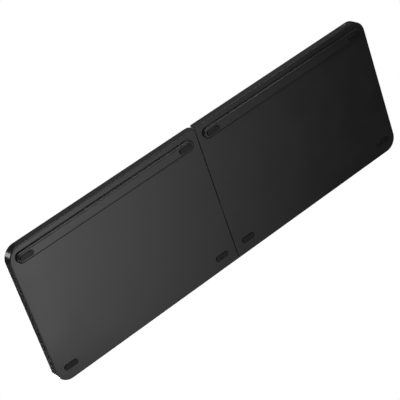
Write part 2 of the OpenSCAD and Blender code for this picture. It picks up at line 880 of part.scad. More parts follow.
// Flat pouch with rounded edges and a strip that reaches the board
module battery() {
    board_top = board_z + board_thickness;
    color("#c3c6ca") left_half() {
        translate([battery_x, battery_rear_y - battery_depth / 2, bay_z])
            along_x(0, battery_length) for (side = [0, 1]) mirror([side, 0])
                rounded_section(battery_depth / 2, battery_thickness, battery_thickness / 4);
        translate([battery_end_x - eps, battery_rear_y - strip_width, board_top])
            cube([board_inner_x + strip_lap - battery_end_x, strip_width,
                bay_z + battery_thickness - board_top]);
    }
}

// Metal shell with a tongue inside
module usb_c_port() {
    inner_width = port_width - 2 * port_shell;
    inner_height = port_height - 2 * port_shell;
    color("#9a9da2") left_half() translate([port_x, port_back_y, port_z]) {
        difference() {
            along_y(0, port_depth) stadium(port_width, port_height);
            along_y(port_shell * 2, port_depth + over) stadium(inner_width, inner_height);
        }
        translate([-port_tongue.x / 2, port_shell, -port_tongue.z / 2]) cube(port_tongue);
    }
}

module magnets() {
    for (x = magnet_xs) translate([x, magnet_y, magnet_z + magnet_thickness / 2])
        cube([magnet_length, magnet_width, magnet_thickness], center = true);
}

module magnets_left() {
    color("#b5b8bc") left_half() magnets();
}

module magnets_right() {
    color("#b5b8bc") right_half() magnets();
}

// ---------- screws and feet ----------

module case_screws(spots) {
    for (spot = spots) translate([spot.x, spot.y, screw_z]) {
        cylinder(r = screw_head_radius, h = screw_head_height);
        translate([0, 0, screw_head_height - eps])
            cylinder(r = screw_radius, h = boss_z + collar_height - screw_z - screw_head_height);
    }
}

module case_screws_left() {
    color("#6f7277") left_half() case_screws(LEFT_SPOTS);
}

module case_screws_right() {
    color("#6f7277") right_half() case_screws(RIGHT_SPOTS);
}

// Pads let into the underside and trimmed flat where they stand
module rubber_feet() {
    at_feet() translate([0, 0, -foot_proud - over]) linear_extrude(foot_proud + over + foot_recess)
        stadium(foot_length, foot_width);
}

module trimmed_at_ground() {
    intersection() {
        children();
        translate([-far_side, -far_side, 0]) cube(2 * far_side);
    }
}

module rubber_feet_left() {
    color("#101113") trimmed_at_ground() left_half() rubber_feet();
}

module rubber_feet_right() {
    color("#101113") trimmed_at_ground() right_half() rubber_feet();
}

bottom_case_left();
bottom_case_right();
key_frame_left();
key_frame_right();
key_plate_left();
key_plate_right();
dome_sheet_left();
dome_sheet_right();
scissor_links_left();
scissor_links_right();
main_board();
battery();
usb_c_port();
rubber_feet_left();
rubber_feet_right();
hinge_pins();
hinge_leaf_left();
hinge_leaf_right();
case_screws_left();
case_screws_right();
magnets_left();
magnets_right();
flex_cable_left();
flex_cable_right();
for (name = KEY_NODES) key_node(name);
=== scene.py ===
# %% [markdown]
# # A folding keyboard, seen from below
# The real object is two thin moulded halves that close like a book. The photograph looks up at the
# underside, so the bottom cases, their raised bars and the rubber feet matter most. The keys are on the
# far side, and they get the same care, because the object is also judged from above and half folded.
#
# Every piece below is drawn level and in millimetres, and what has a twin is drawn on the typist's right.
# One function mirrors it for the left half, leans it back on its feet and turns it into metres.

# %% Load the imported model
import json
import math

import bmesh
import bpy
import numpy as np
from mathutils import Matrix, Vector
from mathutils.geometry import delaunay_2d_cdt

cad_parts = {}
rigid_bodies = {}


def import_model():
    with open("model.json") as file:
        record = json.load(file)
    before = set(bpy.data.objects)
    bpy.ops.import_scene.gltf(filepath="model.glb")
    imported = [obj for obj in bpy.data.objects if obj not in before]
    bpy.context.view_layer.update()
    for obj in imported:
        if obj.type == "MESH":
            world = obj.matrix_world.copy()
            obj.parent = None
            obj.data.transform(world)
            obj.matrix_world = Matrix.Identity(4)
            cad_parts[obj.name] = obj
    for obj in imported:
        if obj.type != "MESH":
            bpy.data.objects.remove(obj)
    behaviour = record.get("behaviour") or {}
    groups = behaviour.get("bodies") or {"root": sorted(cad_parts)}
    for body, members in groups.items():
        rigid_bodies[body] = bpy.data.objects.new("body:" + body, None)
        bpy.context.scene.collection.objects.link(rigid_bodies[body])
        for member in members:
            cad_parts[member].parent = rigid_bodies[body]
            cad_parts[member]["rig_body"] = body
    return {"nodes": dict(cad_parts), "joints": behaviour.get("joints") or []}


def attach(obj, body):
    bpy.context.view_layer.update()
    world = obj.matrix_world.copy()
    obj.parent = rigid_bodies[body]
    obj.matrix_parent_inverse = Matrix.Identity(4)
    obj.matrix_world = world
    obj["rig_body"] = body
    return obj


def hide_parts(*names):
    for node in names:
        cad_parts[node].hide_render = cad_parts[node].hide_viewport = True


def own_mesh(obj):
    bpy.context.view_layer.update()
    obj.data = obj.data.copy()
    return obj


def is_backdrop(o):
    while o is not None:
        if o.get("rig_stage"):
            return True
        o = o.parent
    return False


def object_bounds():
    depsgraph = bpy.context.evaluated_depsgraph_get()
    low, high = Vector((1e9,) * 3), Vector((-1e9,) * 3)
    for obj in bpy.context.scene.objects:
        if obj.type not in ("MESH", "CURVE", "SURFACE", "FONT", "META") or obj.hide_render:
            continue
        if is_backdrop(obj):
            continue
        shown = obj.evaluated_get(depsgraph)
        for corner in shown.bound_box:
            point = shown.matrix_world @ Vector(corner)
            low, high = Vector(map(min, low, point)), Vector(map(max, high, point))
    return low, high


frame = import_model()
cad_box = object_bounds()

MM = 0.001

# %% [markdown]
# ## The case's own frame
# The rear bar tips the keyboard a little towards the typist. The fold's axis runs along the seam, so its
# direction gives the lean, and its height above the underside gives the origin. Boxes of the packed
# nodes, read back in this level frame, then give the sizes that the looks are built on.

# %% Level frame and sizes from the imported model
fold = next(joint for joint in frame["joints"] if joint["name"] == "fold")
case_height = 6.2
axis_z = 6.3
depth_axis = -np.array(fold["axis"])
LEAN = np.stack([[1, 0, 0], depth_axis, np.cross([1, 0, 0], depth_axis)], axis=1)
ORIGIN = np.array(fold["pos_m"]) - LEAN @ (0, 0, axis_z * MM)


def to_row(points, side=1):
    """Level millimetres to metres in the row frame: x mirrored for side -1, turned by the lean, moved."""
    return (np.asarray(points, float) * (side, 1, 1) * MM) @ LEAN.T + ORIGIN


def body_of(node):
    """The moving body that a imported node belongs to."""
    return frame["nodes"][node]["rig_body"]


def level_points(node):
    """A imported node's corners in level millimetres: origin taken off, turned back, in units of MM."""
    mesh = frame["nodes"][node].data
    points = np.empty(len(mesh.vertices) * 3)
    mesh.vertices.foreach_get("co", points)
    return (points.reshape(-1, 3) - ORIGIN) @ LEAN / MM


case_points = level_points("bottom_case_right")
half_length, half_depth = case_points[:, 0].max(), case_points[:, 1].max()
bar_height = -case_points[:, 2].min()
print(f"half length {half_length:.1f}, half depth {half_depth:.1f}, bar {bar_height:.2f} mm")

# %% [markdown]
# ## Camera and stage
# The camera stands behind the keyboard and below it, where the photograph was taken from. Its place and
# aim are real distances in the level frame. They were found by fitting the edges of the case to its
# edges in the photograph, which is surer than turning a camera by eye.


# %% Camera
def add_object(name, data):
    """A new object in the scene that shows the given mesh, lamp, camera or text."""
    made = bpy.data.objects.new(name, data)
    bpy.context.scene.collection.objects.link(made)
    return made


camera_place = (469.0, 503.5, -802.6)
camera_aim = (12.8, 4.0, 0.0)
camera_roll = math.radians(-68.21)
lens_of_photo = 153.1

camera = add_object("camera", bpy.data.cameras.new("camera"))
camera.data.lens = lens_of_photo
camera.data.clip_start = 0.01
place, aim = Vector(to_row(camera_place)), Vector(to_row(camera_aim))
turn = (aim - place).to_track_quat("-Z", "Y").to_matrix() @ Matrix.Rotation(camera_roll, 3, "Z")
camera.matrix_world = Matrix.Translation(place) @ turn.to_4x4()
bpy.context.scene.camera = camera
print(f"camera {(aim - place).length:.2f} m from the underside")


# %% [markdown]
# ## Small helpers for materials
# Every finish below is a Principled shader with a few nodes in front of it. Object coordinates place their
# patterns in real metres, so grain has the same size on a small foot and on a large case, and no
# mapping has to be unwrapped.

# %% Node helpers
def new_material(name):
    """An empty material with a Principled shader on its output; gives material, nodes, link and shader."""
    material = bpy.data.materials.new(name)
    material.use_nodes = True
    tree = material.node_tree
    return material, tree.nodes, tree.links.new, tree.nodes["Principled BSDF"]


def add_node(nodes, kind, **inputs):
    """A new shader node with some of its inputs set."""
    made = nodes.new("ShaderNode" + kind)
    for name, value in inputs.items():
        made.inputs[name.replace("_", " ")].default_value = value
    return made


def noise(nodes, link, scale, detail=2.0, stretch=(1, 1, 1)):
    """Noise on Object coordinates, in cells per metre, drawn out along an axis where stretch is small."""
    place = add_node(nodes, "TexCoord")
    mapping = add_node(nodes, "Mapping", Scale=stretch)
    texture = add_node(nodes, "TexNoise", Scale=scale, Detail=detail)
    link(place.outputs["Object"], mapping.inputs["Vector"])
    link(mapping.outputs["Vector"], texture.inputs["Vector"])
    return texture.outputs["Fac"]


def spread(nodes, link, value, low, high):
    """Maps noise, which lies mostly between 0.3 and 0.7, onto the span from low to high."""
    span = add_node(nodes, "MapRange", From_Min=0.3, From_Max=0.7, To_Min=low, To_Max=high)
    link(value, span.inputs["Value"])
    return span.outputs["Result"]


def two_tones(nodes, link, value, first, second, start=0.35, end=0.65):
    """A colour that goes from first to second as value goes from start to end."""
    ramp = add_node(nodes, "ValToRGB")
    for stop, position, colour in zip(ramp.color_ramp.elements, (start, end), (first, second)):
        stop.position = position
        stop.color = (*colour, 1)
    link(value, ramp.inputs["Fac"])
    return ramp.outputs["Color"]


def bumps(nodes, link, shader, value, depth, strength):
    """Relief of the given depth in metres on the shader's normal."""
    bump = add_node(nodes, "Bump", Strength=strength, Distance=depth)
    link(value, bump.inputs["Height"])
    link(bump.outputs["Normal"], shader.inputs["Normal"])


# %% [markdown]
# ## Floor
# The keyboard lies on pale paper. The photograph looks at it from below, so the paper must not stand in the
# way: it is clear from below, and also to every ray but the camera's, so that it can't shade the underside.

# %% Pale floor, clear from below
def floor_material():
    """Pale paper where the camera looks down on it; a clear sheet for the camera below and for light."""
    material, nodes, link, shader = new_material("floor_paper")
    shader.inputs["Roughness"].default_value = 0.9
    tone = two_tones(nodes, link, noise(nodes, link, 9), (0.80, 0.80, 0.79), (0.83, 0.83, 0.82))
    link(tone, shader.inputs["Base Color"])
    path = add_node(nodes, "LightPath")
    side = add_node(nodes, "NewGeometry")
    seen = add_node(nodes, "Math")
    seen.operation = "SUBTRACT"
    seen.use_clamp = True
    link(path.outputs["Is Camera Ray"], seen.inputs[0])
    link(side.outputs["Backfacing"], seen.inputs[1])
    clear = add_node(nodes, "BsdfTransparent")
    mix = add_node(nodes, "MixShader")
    link(seen.outputs["Value"], mix.inputs["Fac"])
    link(clear.outputs["BSDF"], mix.inputs[1])
    link(shader.outputs["BSDF"], mix.inputs[2])
    link(mix.outputs["Shader"], nodes["Material Output"].inputs["Surface"])
    return material


floor_reach = 3.0
floor_mesh = bpy.data.meshes.new("floor")
corners = [(-1, -1), (1, -1), (1, 1), (-1, 1)]
floor_mesh.from_pydata([(x * floor_reach, y * floor_reach, 0) for x, y in corners], [], [(0, 1, 2, 3)])
floor_mesh.materials.append(floor_material())
floor = add_object("floor", floor_mesh)
floor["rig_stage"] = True
print("floor", 2 * floor_reach, "m square")

# %% [markdown]
# ## Light
# The photograph was lit softly from below. The underside falls off from dark grey to nearly black along its
# length, a bright band stands in the round outer corner, and a fine bright line runs along the rear bar.
# On black plastic all of this is reflection, so each lamp stands where its mirror image is needed: a softbox
# that fades from end to end for the underside, strips behind for the wall and the bar, one for the corner.
# The room itself stays dim, and the camera sees the surroundings as plain white.

# %% World and lamps
def world_light(seen, felt):
    """White for the camera, and a dim even room for everything that the light falls on."""
    world = bpy.data.worlds.new("studio")
    bpy.context.scene.world = world
    world.use_nodes = True
    nodes, link = world.node_tree.nodes, world.node_tree.links.new
    path = add_node(nodes, "LightPath")
    room = nodes["Background"]
    room.inputs["Color"].default_value = (felt, felt, felt, 1)
    sky = add_node(nodes, "Background", Color=(seen, seen, seen, 1))
    mix = add_node(nodes, "MixShader")
    link(path.outputs["Is Camera Ray"], mix.inputs["Fac"])
    link(room.outputs["Background"], mix.inputs[1])
    link(sky.outputs["Background"], mix.inputs[2])
    link(mix.outputs["Shader"], nodes["World Output"].inputs["Surface"])


def lamp(name, stand, size, power):
    """A soft rectangular lamp of the given size in metres; the stand holds its place and direction."""
    light = bpy.data.lights.new(name, "AREA")
    light.shape = "RECTANGLE"
    light.size, light.size_y = size
    light.energy = power
    made = add_object(name, light)
    made.matrix_world = stand
    made.visible_camera = False


def aimed(place, aim):
    """Stand at one level place in millimetres, facing another."""
    at, towards = Vector(to_row(place)), Vector(to_row(aim))
    turn = (towards - at).to_track_quat("-Z", "Y").to_matrix()
    return Matrix.Translation(at) @ turn.to_4x4()


def graded_softbox(start, heading, pitch, length, powers):
    """Level strips side by side under the keyboard, all facing straight up. Strip i lies i times pitch along
    the heading, in degrees, and has its own power, so that the reflection fades from end to end."""
    across = np.array([math.cos(math.radians(heading)), math.sin(math.radians(heading)), 0])
    facing = np.array([0, 0, -1])
    axes = LEAN @ np.stack([across, np.cross(facing, across), facing], axis=1)
    for i, power in enumerate(powers):
        place = Matrix.Translation(Vector(to_row(np.asarray(start) + i * pitch * across)))
        lamp(f"softbox_{i}", place @ Matrix(axes.tolist()).to_4x4(), (pitch * MM, length * MM), power)


bpy.context.scene.view_settings.view_transform = "Standard"
world_light(seen=1.0, felt=0.03)
graded_softbox((-26, -190, -520), 201.7, 70, 360, (0.07, 0.19, 0.105, 0.085, 0.05, 0.03, 0.015))
lamp("rear_low", aimed((60, 615, -340), (60, 0, 0)), (0.5, 0.16), 0.79)
lamp("rear_near", aimed((400, 675, -190), (400, 0, 0)), (0.6, 0.3), 0.5)
lamp("rear_far", aimed((-250, 350, -606), (-250, 0, 0)), (0.4, 0.16), 0.56)
lamp("rear_level", aimed((-100, 700, 0), (-100, 0, 0)), (0.8, 0.14), 2.0)
lamp("end_fill", aimed((600, -250, -250), (60, 0, 0)), (0.4, 0.4), 0.84)
lamp("corner_strip", aimed((440, 195, 575), (140, 44, 3)), (0.20, 0.28), 0.84)
lamp("high_rear", aimed((-380, 420, 670), (0, 0, 0)), (0.5, 0.4), 0.085)
lamp("top_soft", aimed((-110, -500, 980), (0, 0, 0)), (0.7, 0.5), 13.0)
print("lamps:", len(bpy.data.lights))

# %% [markdown]
# ## Surfaces from rows of points
# A moulded shell is a stack of outlines: the same number of points in each, so that point i of one row
# joins point i of the next. Where a wall turns into a flat floor with holes, the flat part is filled
# between its own outlines. Both kinds of face go into one mesh and are merged where they share points.


# %% Outlines
def arc(middle, radius, start, end, steps):
    """Points on a circle: middle plus radius times (cos a, sin a), with a from start to end degrees."""
    a = np.radians(np.linspace(start, end, steps + 1))
    return np.asarray(middle, float) + radius * np.stack([np.cos(a), np.sin(a)], axis=1)


def stadium(middle, length, width, steps=16):
    """A slot with half-round ends: two half circles, whose straight sides close by themselves."""
    reach = np.array([(length - width) / 2, 0])
    right = arc(middle + reach, width / 2, -90, 90, steps)
    left = arc(middle - reach, width / 2, 90, 270, steps)
    return np.concatenate([right, left])


def circle(middle, radius, steps=32):
    """A ring of points, with the last one a step short of the first."""
    return arc(middle, radius, 0, 360, steps)[:-1]


def at_height(outline, z):
    """Gives an outline its height: one number, or one for each point."""
    return np.column_stack([outline, np.broadcast_to(z, len(outline))])


# %% A mesh from rows and fills
sharp_angle = math.radians(30)


class Shell:
    """Collects faces from rows of points and from flat fills, and makes one closed mesh of them."""

    def __init__(self):
        self.points, self.faces, self.smooth = [], [], []
        self.count = 0

    def add(self, points, faces, smooth):
        """Takes points and the faces between them; smooth tells whether the shading runs on."""
        self.points.append(np.asarray(points, float))
        self.faces.extend((np.asarray(faces) + self.count).tolist())
        self.smooth.extend([smooth] * len(faces))
        self.count += len(points)

    def rows(self, rows):
        """Skins a stack of closed rows: quad (r, c) joins points c and c+1 of row r to those of row r+1."""
        rows = np.asarray(rows, float)
        count, width = rows.shape[:2]
        r, c = np.arange(count - 1)[:, None], np.arange(width)[None, :]
        here, after = r * width + c, r * width + (c + 1) % width
        quads = np.stack([here, after, after + width, here + width], axis=-1)
        self.add(rows.reshape(-1, 3), quads.reshape(-1, 4), True)

    def solid(self, rows):
        """Skins a stack of rows and closes it with one flat face at each end."""
        self.rows(rows)
        for end in (rows[0], rows[-1]):
            self.add(end, [list(range(len(end)))], False)

    def fill(self, outlines, z):
        """Fills a flat region at height z. A triangle counts as inside if a line from its middle crosses
        the outlines an odd number of times, so an outline inside another is a hole."""
        flat = np.concatenate(outlines)
        ends = np.cumsum([0] + [len(o) for o in outlines])
        edges = [(a + i, a + (i + 1) % (b - a)) for a, b in zip(ends, ends[1:]) for i in range(b - a)]
        found, _, faces, *_ = delaunay_2d_cdt([Vector(p) for p in flat], edges, [], 0, 1e-5)
        found, faces = np.array([tuple(p) for p in found]), np.array(faces)
        middles = found[faces].mean(axis=1)
        inside = np.zeros(len(faces), bool)
        for outline in outlines:
            inside ^= encloses(outline, middles)
        self.add(at_height(found, z), faces[inside], False)

    def turned(self, profile, middle, axis="z", steps=32):
        """Turns a profile of (radius, distance) pairs round a line through middle: the ring at a distance
        is radius times (cos a, sin a) in the two directions across the line."""
        rings = np.stack([at_height(circle((0, 0), radius, steps), along) for radius, along in profile])
        self.rows(np.roll(rings, "zxy".index(axis), axis=2) + middle)

    def block(self, outline, low, high):
        """An upright block: its side between two heights, and the two ends."""
        self.rows([at_height(outline, low), at_height(outline, high)])
        self.fill([outline], low)
        self.fill([outline], high)

    def ruled(self, loop):
        """Closes a loop that mirrors itself: quad i joins points i and i+1 of one half to their images."""
        i = np.arange(len(loop) // 2 - 1)
        self.add(loop, np.stack([i, i + 1, len(loop) - 2 - i, len(loop) - 1 - i], axis=1), True)

    def mesh(self, name, side=1):
        """One mesh of all that was collected: mirrored for side -1, merged, with sharp edges marked."""
        mesh = bpy.data.meshes.new(name)
        mesh.from_pydata(to_row(np.concatenate(self.points), side), [], self.faces)
        mesh.polygons.foreach_set("use_smooth", self.smooth)
        return tidied(mesh)


def merged(mesh, reach=0.001):
    """A working copy of a mesh whose faces are joined where their corners lie within reach millimetres."""
    work = bmesh.new()
    work.from_mesh(mesh)
    bmesh.ops.remove_doubles(work, verts=work.verts, dist=reach * MM)
    return work


def tidied(mesh):
    """Merges points that coincide, drops faces without area, turns the rest out and marks sharp edges."""
    work = merged(mesh, 0.002)
    bmesh.ops.dissolve_degenerate(work, edges=work.edges, dist=0.0005 * MM)
    bmesh.ops.recalc_face_normals(work, faces=work.faces)
    for edge in work.edges:
        edge.smooth = edge.calc_face_angle(0) < sharp_angle
    work.to_mesh(mesh)
    work.free()
    return mesh


def encloses(outline, points):
    """Even-odd test for all points at once: counts the outline's edges to the right of each point."""
    x, y = points[:, 0, None], points[:, 1, None]
    x0, y0 = outline[:, 0], outline[:, 1]
    x1, y1 = np.roll(x0, -1), np.roll(y0, -1)
    crosses = (y0 > y) != (y1 > y)
    rise = np.where(y1 == y0, 1, y1 - y0)
    return np.sum(crosses & (x < x0 + (y - y0) * (x1 - x0) / rise), axis=1) % 2 == 1


def open_edges(mesh):
    """How many edges don't have a face on both sides; a closed piece has none."""
    work = bmesh.new()
    work.from_mesh(mesh)
    found = sum(not edge.is_manifold for edge in work.edges)
    work.free()
    return found


def piece(name, mesh, body, material, slot, *nodes):
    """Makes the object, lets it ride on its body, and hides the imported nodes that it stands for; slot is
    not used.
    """
    mesh.materials.append(material)
    made = add_object(name, mesh)
    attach(made, body)
    if nodes:
        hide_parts(*nodes)
    print(f"{name}: {len(mesh.polygons)} faces, {open_edges(mesh)} open edges")
    return made


# %% [markdown]
# ## Finishes
# The plastic is nearly black, with the fine even grain that a spark-eroded mould leaves. The grain is too
# small to see from here, but it is what spreads each reflection, so it is there as relief. Plastics and
# rubber share one function, metals have another, and the board and the cable with their tracks a third.


# %% Plastics and rubber
def moulded_plastic(name, dark, light, roughness, grain=9000, depth=6e-6, specular=0.5):
    """Grained plastic: two close tones in soft patches, fine relief, and a slightly drifting roughness."""
    material, nodes, link, shader = new_material(name)
    patches = noise(nodes, link, 35, 3)
    link(two_tones(nodes, link, patches, dark, light), shader.inputs["Base Color"])
    link(spread(nodes, link, patches, roughness - 0.02, roughness + 0.03), shader.inputs["Roughness"])
    bumps(nodes, link, shader, noise(nodes, link, grain, 2), depth, 0.6)
    shader.inputs["Specular IOR Level"].default_value = specular
    return material


case_dark, case_light = (0.018, 0.018, 0.0185), (0.022, 0.022, 0.0225)
case_plastic = moulded_plastic("case_plastic", case_dark, case_light, 0.20, depth=2e-6)
frame_plastic = moulded_plastic("frame_plastic", (0.017, 0.017, 0.018), (0.021, 0.021, 0.022), 0.42)
key_plastic = moulded_plastic("key_plastic", (0.014, 0.014, 0.015), (0.018, 0.018, 0.019), 0.48)
foot_rubber = moulded_plastic("foot_rubber", (0.004,) * 3, (0.006,) * 3, 0.34, 5000, 1e-5, specular=0.35)
link_plastic = moulded_plastic("link_plastic", (0.70, 0.70, 0.68), (0.76, 0.76, 0.74), 0.38)
legend_ink = moulded_plastic("legend_ink", (0.72, 0.72, 0.72), (0.80, 0.80, 0.80), 0.55, 12000, 2e-6)
silicone = moulded_plastic("silicone", (0.62, 0.63, 0.61), (0.70, 0.70, 0.68), 0.5)
milky = silicone.node_tree.nodes["Principled BSDF"].inputs
milky["Subsurface Weight"].default_value = 0.3
milky["Subsurface Scale"].default_value = 0.002


# %% Metals
def metal(name, dark, light, roughness, stretch=(1, 1, 1), grain=4000, depth=3e-6):
    """Metal with fine marks: even for stamped and cast pieces, drawn out along an axis for brushed ones."""
    material, nodes, link, shader = new_material(name)
    marks = noise(nodes, link, grain, 4, stretch)
    link(two_tones(nodes, link, marks, dark, light), shader.inputs["Base Color"])
    link(spread(nodes, link, marks, roughness - 0.05, roughness + 0.08), shader.inputs["Roughness"])
    bumps(nodes, link, shader, marks, depth, 0.5)
    shader.inputs["Metallic"].default_value = 1.0
    return material


hinge_steel = metal("hinge_steel", (0.16, 0.16, 0.17), (0.22, 0.22, 0.23), 0.34, (1, 0.05, 1))
pin_steel = metal("pin_steel", (0.50, 0.50, 0.52), (0.62, 0.62, 0.64), 0.22, (1, 0.05, 1))
screw_steel = metal("screw_steel", (0.20, 0.20, 0.21), (0.28, 0.28, 0.29), 0.35)
stamped_plate = metal("stamped_plate", (0.42, 0.43, 0.44), (0.52, 0.53, 0.54), 0.4, (0.05, 1, 1))
socket_shell = metal("socket_shell", (0.48, 0.48, 0.49), (0.58, 0.58, 0.59), 0.25, (1, 0.1, 1))
magnet_nickel = metal("magnet_nickel", (0.55, 0.55, 0.54), (0.64, 0.64, 0.62), 0.2)
contact_gold = metal("contact_gold", (0.72, 0.50, 0.16), (0.82, 0.60, 0.22), 0.25)
battery_foil = metal("battery_foil", (0.60, 0.60, 0.61), (0.70, 0.70, 0.71), 0.35, grain=600, depth=4e-5)


# %% Board and cable
def striped(name, base, stripe, pitch, axis, metallic):
    """Film or board with fine copper tracks: a wave along one axis, with its crests as tracks."""
    material, nodes, link, shader = new_material(name)
    place = add_node(nodes, "TexCoord")
    wave = add_node(nodes, "TexWave", Scale=2 * math.pi / (20 * pitch), Distortion=0.0)
    wave.bands_direction = axis
    link(place.outputs["Object"], wave.inputs["Vector"])
    tracks = two_tones(nodes, link, wave.outputs["Fac"], base, stripe, 0.70, 0.76)
    link(tracks, shader.inputs["Base Color"])
    link(spread(nodes, link, noise(nodes, link, 900), 0.28, 0.4), shader.inputs["Roughness"])
    shader.inputs["Metallic"].default_value = metallic
    return material


cable_film = striped("cable_film", (0.42, 0.19, 0.04), (0.60, 0.34, 0.12), 0.0008, "Y", 0.2)
circuit_board = striped("circuit_board", (0.012, 0.09, 0.035), (0.03, 0.16, 0.07), 0.0012, "X", 0.0)
print("finishes:", len(bpy.data.materials))

# %% [markdown]
# ## The bottom cases
# Each half is one moulded tray. A box with bevels would come close, but at the seam the upper edge is
# rounded off and scooped out for the hinge, which a bevel can't follow. So the outer skin is one stack of
# outlines: from the flat underside, round the lower edge, up the wall, over the rim and down to the ledge
# and the floor inside, and the rim's rows take their height from one function of the place. The round at
# the lower edge stops at the seam, as it does on the real halves, which meet there almost edge to edge.

# %% Case sizes, in millimetres
seam_x = 0.2
corner_radius = 9
edge_radius = 0.6
seam_radius = 2.5
floor_top = 1.0
wall = 1.5
ledge = 0.8
ledge_z = 3.7
rim_break = 0.15
support_row = 0.08
bar_width = 7.2
bar_edge_radius = 1.0
bar_y = half_depth - 7.5
bar_end_margin = 4.5
knuckle_radius = 2.2
pocket_radius = 2.45
pocket_from, pocket_to = 19.7, 38.3
sleeve_from, sleeve_to = 0.15, 8.0
sleeve_gap = 0.15
sleeve_bore = 1.2


# %% One half's outline and the height of its upper edge
def half_outline(inset, seam_inset, scoops):
    """One half from above, drawn in by inset outside and by seam_inset at the seam. Straight edges have
    extra points where the upper edge curves down to the seam, and a scoop has two at each of its ends."""
    seam_side, far_side = seam_x + seam_inset, half_depth - inset
    reach = half_length - corner_radius
    curve = seam_x + seam_radius * (1 - np.cos(np.linspace(0, math.pi / 2, 9)))
    xs = np.maximum(np.concatenate([curve, [reach / 2]]), seam_side)
    front = np.column_stack([xs, np.full(len(xs), -far_side)])
    corner = (reach, half_depth - corner_radius)
    outer = arc((reach, -corner[1]), corner_radius - inset, -90, 0, 20)
    rear_outer = arc(corner, corner_radius - inset, 0, 90, 20)
    rear = np.column_stack([xs[::-1], np.full(len(xs), far_side)])
    ys = np.repeat(sorted((y for scoop in scoops for y in scoop), reverse=True), 2)
    seam = np.column_stack([np.full(len(ys), seam_side), ys])
    return np.concatenate([front, outer, rear_outer, rear, seam])


def upper_edge(outline, scoops):
    """Height of the case's upper edge: a circle of the seam radius rolls it off towards the seam, and
    inside a scoop it is cut down to the circle of the pocket round the hinge axis."""
    x, y = outline.T
    roll = np.clip(seam_x + seam_radius - x, 0, seam_radius)
    height = case_height - seam_radius + np.sqrt(seam_radius**2 - roll**2)
    pocket = axis_z - np.sqrt(np.maximum(pocket_radius**2 - x**2, 0))
    seam_count = 2 * sum(len(scoop) for scoop in scoops)
    order = np.arange(len(outline)) - (len(outline) - seam_count)
    inside = (order > 0) & (order % 4 != 0) & (order % 4 != 3)
    return np.where(inside, np.minimum(height, pocket), height)


def round_over(radius, steps):
    """Quarter circle as (inset, height) pairs: radius times (1 - sin a, 1 - cos a), a from 0 to 90."""
    a = np.linspace(0, math.pi / 2, steps + 1)
    return np.stack([radius * (1 - np.sin(a)), radius * (1 - np.cos(a))], axis=1)


print("lower edge:", np.round(round_over(edge_radius, 3), 2).tolist())

# %% [markdown]
# The underside is flat, with openings for the foot of the bar and for the recesses of the two front feet.
# The bar's own face has the recesses of the two rear feet. Behind every foot but the left half's outer rear
# one, where the board lies, a screw goes up through a boss. Such a recess has a stepped hole in its floor,
# which is a turned profile.

# %% Feet, screws and bosses
foot_length, foot_width = 10, 3.5
foot_recess = 0.3
snug = 0.1
foot_seam_inset, foot_side_inset, foot_front_inset = 11.3, 10.9, 8.8
foot_xs = (foot_seam_inset, half_length - foot_side_inset)
feet = [(x, y) for x in foot_xs for y in (foot_front_inset - half_depth, bar_y)]
screw_head_room, screw_hole, boss_radius = 1.6, 0.9, 2.5
head_top, boss_top, leaf_plate = 1.0, 1.8, 0.5


def foot_base(y):
    """Height of the surface that a foot is let into: the bar's face behind, the underside in front."""
    return -bar_height if y > 0 else 0.0


def rectangle(x0, x1, y0, y1):
    """Four corners, for ribs and cells."""
    return np.array([(x0, y0), (x1, y0), (x1, y1), (x0, y1)], float)


def screwed_spot(shell, x, y):
    """Head room, shank hole and boss of one screw: a turned profile from the foot's recess to the floor."""
    top = boss_top - (leaf_plate if x == foot_xs[0] else 0)
    head = [(screw_head_room, foot_base(y) + foot_recess), (screw_head_room, head_top)]
    shank = [(screw_hole, head_top), (screw_hole, top)]
    boss = [(boss_radius, top), (boss_radius, floor_top)]
    shell.turned(head + shank + boss, (x, y, 0))


def bar_cells():
    """Five hollow cells between the bar's two bosses, which keep its wall as thin as the tray's."""
    fence, count, bar_wall = 0.8, 5, 1.0
    margin = boss_radius + bar_wall
    first, last = foot_xs[0] + margin, foot_xs[1] - margin
    pitch = (last - first + fence) / count
    reach = bar_width / 2 - bar_wall
    starts = first + pitch * np.arange(count)
    return [rectangle(x, x + pitch - fence, bar_y - reach, bar_y + reach) for x in starts]


# %% The tray
def outer_skin(shell, scoops):
    """From the underside round the lower edge, up the wall, over the rim, and down to the floor inside."""
    seam_share = 0.2

    def ring(inset, seam_inset, height=None, drop=0.0):
        outline = half_outline(inset, seam_inset, scoops)
        return at_height(outline, upper_edge(outline, scoops) - drop if height is None else height)

    rows = [ring(inset, seam_share * inset, z) for inset, z in round_over(edge_radius, 8)]
    rows += [ring(0, 0, edge_radius + support_row), ring(0, 0, None, rim_break + support_row)]
    rows += [ring(inset, inset, None, drop) for inset, drop in round_over(rim_break, 4)[::-1]]
    rows += [ring(inset, inset) for inset in np.linspace(rim_break, wall - rim_break, 7)[1:]]
    rows += [ring(wall - inset, wall - inset, None, drop) for inset, drop in round_over(rim_break, 4)[1:]]
    rows += [ring(wall, wall, ledge_z)]
    rows += [ring(wall + ledge, wall, z) for z in (ledge_z, floor_top)]
    shell.rows(rows)
    return rows[0][:, :2], rows[-1][:, :2]


def bar_skin(shell):
    """The raised bar: a slot-shaped wall that rolls over into its flat face. Gives its foot and its face."""
    middle, length = (half_length / 2, bar_y), half_length - 2 * bar_end_margin

    def ring(inset, z):
        return at_height(stadium(middle, length - 2 * inset, bar_width - 2 * inset, 24), z)

    rows = [ring(0, 0), ring(0, -support_row)]
    rows += [ring(inset, z - bar_height) for inset, z in round_over(bar_edge_radius, 8)[::-1]]
    shell.rows(rows)
    return rows[0][:, :2], rows[-1][:, :2]


